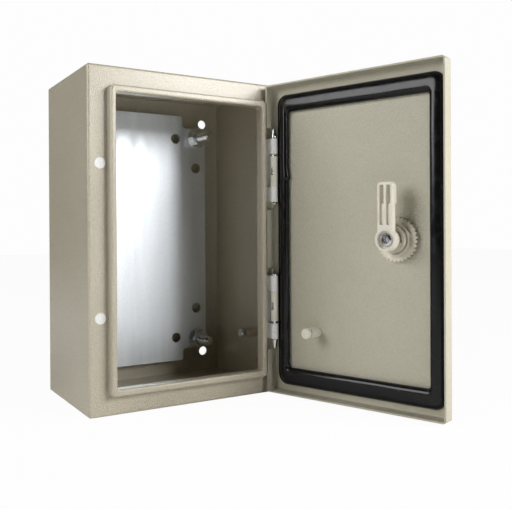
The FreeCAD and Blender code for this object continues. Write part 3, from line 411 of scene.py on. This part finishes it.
castSettings = {
    "lock": {"colour": srgb(230, 224, 207), "rough": 0.34, "relief": 0.08},
    "lever": {"colour": srgb(240, 235, 221), "rough": 0.32, "relief": 0.08},
    "hinge": {"colour": srgb(252, 252, 250), "rough": 0.25, "relief": 0.05},
    "plug": {"colour": srgb(252, 252, 251), "rough": 0.25, "relief": 0.04},
    "skinScale": 700.0,
    "skinDepth": 0.0004,
    "skinDark": 0.95,
    "skinLight": 1.02,
    "cloudScale": 60.0,
    "cloudShade": (0.95, 0.95, 0.94, 1.0),
    "smoother": 0.05,
    "rougher": 0.07,
}


def makeCoatedCasting(name, settings):
    # smooth satin paint or plastic, with the faint skin of a casting
    material, tree, shader, place = newMaterial(name)
    cast = castSettings
    colour = settings["colour"]
    skin = noise(tree, place, cast["skinScale"], 3.0)
    clouds = noise(tree, place, cast["cloudScale"], 2.0)
    fine = twoColours(tree, skin, scaled(colour, cast["skinDark"]), scaled(colour, cast["skinLight"]))
    broad = twoColours(tree, clouds, cast["cloudShade"], unshaded)
    tree.links.new(overlay(tree, fine, broad, 1.0), shader.inputs["Base Color"])
    tree.links.new(glossAround(tree, skin, settings["rough"], cast), shader.inputs["Roughness"])
    bump(tree, shader, skin, settings["relief"], cast["skinDepth"])
    return material


rubberSettings = {
    "foam": {"colour": (0.006, 0.006, 0.007, 1.0), "rough": 0.19, "gloss": 0.32},
    "seal": {"colour": (0.018, 0.018, 0.018, 1.0), "rough": 0.55, "gloss": 0.3},
    "skinScale": 150.0,
    "skinRelief": 0.05,
    "skinDepth": 0.0005,
    "skinDark": 0.7,
    "skinLight": 1.5,
    "poreScale": 1400.0,
    "poreRelief": 0.02,
    "poreDepth": 0.0001,
    "smoother": 0.03,
    "rougher": 0.04,
}


def makeRubber(name, settings):
    # black foamed skin: smooth and glossy, a little uneven along its run
    material, tree, shader, place = newMaterial(name)
    rubber = rubberSettings
    colour = settings["colour"]
    shader.inputs["Specular IOR Level"].default_value = settings["gloss"]
    skin = noise(tree, place, rubber["skinScale"], 2.0)
    pores = noise(tree, place, rubber["poreScale"], 2.0)
    base = twoColours(tree, skin, scaled(colour, rubber["skinDark"]), scaled(colour, rubber["skinLight"]))
    tree.links.new(base, shader.inputs["Base Color"])
    tree.links.new(glossAround(tree, skin, settings["rough"], rubber), shader.inputs["Roughness"])
    under = bump(tree, shader, skin, rubber["skinRelief"], rubber["skinDepth"])
    bump(tree, shader, pores, rubber["poreRelief"], rubber["poreDepth"], under)
    return material


cabinetPaint = makePowderCoat("cabinetPowderCoat", paintSettings["cabinet"])
doorPaint = makePowderCoat("doorPowderCoat", paintSettings["door"])
galvanised = makeGalvanised("galvanisedSheet", metalSettings["galvanised"])
zinc = makePlatedSteel("zincPlatedSteel", metalSettings["zinc"])
# painted shade: the earth studs get this darkened zinc in place of the zinc's own colour
paintedShadeZinc = makePlatedSteel("earthStudPaintedShadeZinc", metalSettings["shaded"])
brightSteel = makePlatedSteel("brightPinSteel", metalSettings["bright"])
lockPaint = makeCoatedCasting("lockCasting", castSettings["lock"])
leverPaint = makeCoatedCasting("leverCasting", castSettings["lever"])
hingePaint = makeCoatedCasting("whiteHingePaint", castSettings["hinge"])
plugPlastic = makeCoatedCasting("whitePlugPlastic", castSettings["plug"])
foamSkin = makeRubber("gasketFoamSkin", rubberSettings["foam"])
sealRubber = makeRubber("lockSealRubber", rubberSettings["seal"])

finishes = {
    "body_shell": cabinetPaint,
    "mounting_plate": galvanised,
    "plate_studs": zinc,
    "plate_spacers": zinc,
    "plate_washers": zinc,
    "plate_nuts": zinc,
    "body_earth_stud": paintedShadeZinc,
    "body_earth_sleeve": cabinetPaint,
    "body_earth_cap": zinc,
    "hinge_bracket_upper": hingePaint,
    "hinge_bracket_lower": hingePaint,
    "hinge_bracket_washers": zinc,
    "hinge_bracket_nuts": zinc,
    "hinge_pin_upper": brightSteel,
    "hinge_pin_lower": brightSteel,
    "spare_hole_plugs": plugPlastic,
    "door_panel": doorPaint,
    "door_knuckle_upper": leverPaint,
    "door_knuckle_lower": leverPaint,
    "door_gasket": foamSkin,
    "door_earth_stud": paintedShadeZinc,
    "door_earth_sleeve": leverPaint,
    "door_earth_cap": leverPaint,
    "lock_housing": lockPaint,
    "lock_seal": sealRubber,
    "lock_ring_nut": lockPaint,
    "lock_stop_ring": lockPaint,
    "lock_rotor": lockPaint,
    "lock_lever": leverPaint,
    "lock_screw": brightSteel,
}
for nodeName, finish in finishes.items():
    nodes[nodeName].data.materials.clear()
    nodes[nodeName].data.materials.append(finish)
print("materials on", len(finishes), "nodes")


def addMesh(name, points, faces, finish, body, smooth=True):
    mesh = bpy.data.meshes.new(name)
    mesh.from_pydata(points, [], faces)
    mesh.update()
    if smooth:
        for face in mesh.polygons:
            face.use_smooth = True
    mesh.materials.append(finish)
    piece = bpy.data.objects.new(name, mesh)
    bpy.context.scene.collection.objects.link(piece)
    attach(piece, body)
    return piece


# Gasket: a poured foam bead round the door, one soft dome with a low edge beside the hinges

doorHinge = [joint for joint in frame["joints"] if joint["name"] == "door_hinge"][0]
openAngle = -math.radians(doorHinge["range_deg"][0])
pinPlace = Vector(doorHinge["pos_m"])
doorTurn = Matrix.Rotation(openAngle, 4, "Z")


def toClosed(point):
    # from the open door back to where the point is with the door shut, measured from the pin
    return doorTurn.inverted() @ (point - pinPlace)


def toOpen(point):
    return pinPlace + doorTurn @ point


gasketSettings = {
    "outerCorner": 0.010,
    "innerCorner": 0.003,
    "cornerSteps": 12,
    "sideSteps": 150,
    "width": 0.0172,          # of the runs at the top and the bottom
    "lockSideWidth": 0.0128,
    "hingeWidth": 0.0105,     # of the dome beside the hinges
    "spread": 0.0008,         # how far the bead reaches past its plain solid
    "sag": 0.0026,            # the bottom run lies a little low
    # the dome from its outer to its inner side: share of the width, share of the height
    "profile": ((0.0, 0.30), (0.04, 0.52), (0.10, 0.68), (0.20, 0.82), (0.32, 0.91), (0.44, 0.96), (0.56, 0.99),
                (0.66, 1.0), (0.76, 0.98), (0.85, 0.91), (0.92, 0.79), (0.97, 0.62), (1.0, 0.40)),
    "fill": 0.985,            # highest point, as a share of the space
    "skirtShare": 0.27,       # height of the low edge, as a share of the space
    "skirtProfile": ((0.0, 0.0), (0.04, 0.6), (0.2, 1.0), (0.9, 1.0)),    # the same for the low edge
    "footEdge": 0.0003,       # the dome starts this far inside the low edge
    "waviness": 0.00022,      # how far the poured bead wanders
    "waves": ((7, 1.0, 0.0), (17, 0.6, 1.3)),     # waves round the door, share, start
    "swell": 0.012,           # how much its height varies
    "swellWave": (11, 0.4),
    "joinHeight": 0.0625,     # where the two ends of the bead meet
    "joinLength": 0.0075,
    "joinShift": 0.0016,
    "joinStep": 0.1,          # how suddenly the upper end stops, as a share of its length
    "joinStart": 0.6,         # only the inner side of the bead swells, from here on
}


def roundedLoop(left, right, bottom, top, corner, settings):
    # points round a rectangle with round corners, the same number on each side
    loop = []
    sideSteps = settings["sideSteps"]
    cornerSteps = settings["cornerSteps"]
    centres = [(right - corner, top - corner, 0), (left + corner, top - corner, 90),
               (left + corner, bottom + corner, 180), (right - corner, bottom + corner, 270)]
    for number, (x, z, start) in enumerate(centres):
        for step in range(cornerSteps + 1):
            angle = math.radians(start + 90 * step / cornerSteps)
            loop.append(Vector((x + corner * math.cos(angle), z + corner * math.sin(angle))))
        follow = centres[(number + 1) % 4]
        angle = math.radians(follow[2])
        begin = loop[-1]
        finish = Vector((follow[0] + corner * math.cos(angle), follow[1] + corner * math.sin(angle)))
        for step in range(1, sideSteps):
            loop.append(begin.lerp(finish, step / sideSteps))
    return loop


def joinAt(place, settings):
    # one end of the bead lies over the other: it swells above the join and stops at it
    above = (place - settings["joinHeight"]) / settings["joinLength"]
    step = settings["joinStep"]
    if above < -step:
        return 0.0
    return math.exp(-max(0.0, above) ** 2) * min(1.0, (above + step) / step)


def gasketSection(foot, outside, inside, along, space, join, settings):
    # one cut through the bead: places across it with their heights above the door
    inward = (inside - outside).normalized()
    wander = settings["waviness"] * sum(share * math.sin(count * along + start)
                                        for count, share, start in settings["waves"])
    count, start = settings["swellWave"]
    swell = 1 + settings["swell"] * math.sin(count * along + start)
    skirt = settings["skirtShare"] * space
    section = [(foot.lerp(outside, share), level * skirt) for share, level in settings["skirtProfile"]]
    for across, height in settings["profile"]:
        bulge = max(0.0, (across - settings["joinStart"]) / (1 - settings["joinStart"]))
        flat = outside.lerp(inside, across)
        flat = flat + inward * (wander * math.sin(math.pi * across))
        flat = flat + inward * (join * settings["joinShift"] * bulge)
        section.append((flat, min(space, space * settings["fill"] * height * swell)))
    section.append((section[-1][0], 0.0))
    return section


def makeGasket(settings):
    # the room comes from the plain solid: a low edge all round and a full height inside it
    corners = [toClosed(vertex.co) for vertex in nodes["door_gasket"].data.vertices]
    left = min(point.x for point in corners) - settings["spread"]
    right = max(point.x for point in corners)
    bottom = min(point.z for point in corners) - settings["sag"]
    top = max(point.z for point in corners) + settings["spread"]
    skin = min(point.y for point in corners)
    space = max(point.y for point in corners) - skin
    nearlyTop = skin + 0.9 * space       # only corners of the full height lie above this
    upperRight = max(point.x for point in corners if point.y > nearlyTop)
    edge = settings["footEdge"]
    width = settings["width"]
    outerCorner = settings["outerCorner"]
    low = roundedLoop(left, right, bottom, top, outerCorner, settings)
    outer = roundedLoop(left + edge, upperRight, bottom + edge, top - edge, outerCorner, settings)
    inner = roundedLoop(left + settings["lockSideWidth"], upperRight - settings["hingeWidth"],
                        bottom + width, top - width, settings["innerCorner"], settings)
    hingeSide = upperRight - 0.0001      # past this a point lies on the run beside the hinges
    points = []
    for number, (foot, outside, inside) in enumerate(zip(low, outer, inner)):
        along = number / len(outer) * 2 * math.pi
        join = joinAt(outside.y, settings) if outside.x > hingeSide else 0.0
        section = gasketSection(foot, outside, inside, along, space, join, settings)
        for flat, height in section:
            points.append(toOpen(Vector((flat.x, skin + height, flat.y))))
    rows = len(section)
    faces = []
    for number in range(len(outer)):
        here = number * rows
        there = (number + 1) % len(outer) * rows
        for row in range(rows):
            following = (row + 1) % rows
            faces.append((here + row, here + following, there + following, there + row))
    bead = addMesh("gasketBead", points, faces, foamSkin, "door")
    rounder = bead.modifiers.new("softer", "SUBSURF")
    rounder.levels = 1
    rounder.render_levels = 1
    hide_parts("door_gasket")


makeGasket(gasketSettings)
print("gasket poured")

# Plate studs: real thread between the nut and the groove

studSettings = {
    "radius": 0.005,
    "pitch": 0.0015,
    "threadDepth": 0.00085,
    "threadFlat": 0.1,        # flat at the crest and the root, as a share of a flank
    "around": 36,
    "perTurn": 6,
    "lead": 0.0012,           # run-out of the thread toward the groove
    "neckRadius": 0.0037,     # groove behind the last turn
    "neckLength": 0.0012,
    "rimLength": 0.0016,      # last turn, in front of the groove
    "rimSlope": 0.0008,
    "tipRadius": 0.00275,     # turned tip
    "tipLength": 0.0025,
    "tipChamfer": 0.0004,
}


def threadRadius(phase, settings):
    # V thread with a small flat at the crest and the root
    flat = settings["threadFlat"]
    wave = abs(2 * (phase % 1.0) - 1)
    wave = min(1.0, max(0.0, (wave - flat) / (1 - 2 * flat)))
    return settings["radius"] - settings["threadDepth"] * wave


def studTip(settings, tip):
    # places and radii of a stud from its groove to its end
    crest = settings["radius"]
    neck = settings["neckRadius"]
    rimFront = tip + settings["tipLength"]
    rimBack = rimFront + settings["rimLength"]
    point = settings["tipRadius"]
    chamfer = settings["tipChamfer"]
    return [(rimBack + settings["neckLength"], neck), (rimBack, neck), (rimBack, crest),
            (rimFront + settings["rimSlope"], crest), (rimFront, neck), (rimFront, point),
            (tip + chamfer, point), (tip, point - chamfer)]


def makeStuds(settings):
    low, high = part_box("plate_studs")
    crest = settings["radius"]
    neck = settings["neckRadius"]
    around = settings["around"]
    centres = [(x, z) for x in (low.x + crest, high.x - crest) for z in (low.z + crest, high.z - crest)]
    ending = studTip(settings, low.y)
    neckStart = ending[0][0]
    turns = []                # radius for each step round, from the wall to the tip
    place = high.y
    while place > neckStart:
        room = neck + (crest - neck) * min(1.0, (place - neckStart) / settings["lead"])
        ring = [min(room, threadRadius(place / settings["pitch"] + step / around, settings))
                for step in range(around)]
        turns.append((place, ring))
        place -= settings["pitch"] / settings["perTurn"]
    turns += [(place, [radius] * around) for place, radius in ending]
    points = []
    faces = []
    for x, z in centres:
        first = len(points)
        for place, ring in turns:
            for step, radius in enumerate(ring):
                angle = 2 * math.pi * step / around
                points.append((x + radius * math.cos(angle), place, z + radius * math.sin(angle)))
        for row in range(len(turns) - 1):
            for step in range(around):
                following = (step + 1) % around
                here = first + row * around
                faces.append((here + step, here + following, here + around + following, here + around + step))
        faces.append(tuple(first + step for step in reversed(range(around))))
        faces.append(tuple(first + (len(turns) - 1) * around + step for step in range(around)))
    studs = addMesh("plateStudThreads", points, faces, zinc, "enclosure", smooth=False)
    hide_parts("plate_studs")


makeStuds(studSettings)
print("studs threaded")

{"solids": plainList(solidBounds), "dressed": plainList(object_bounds())}
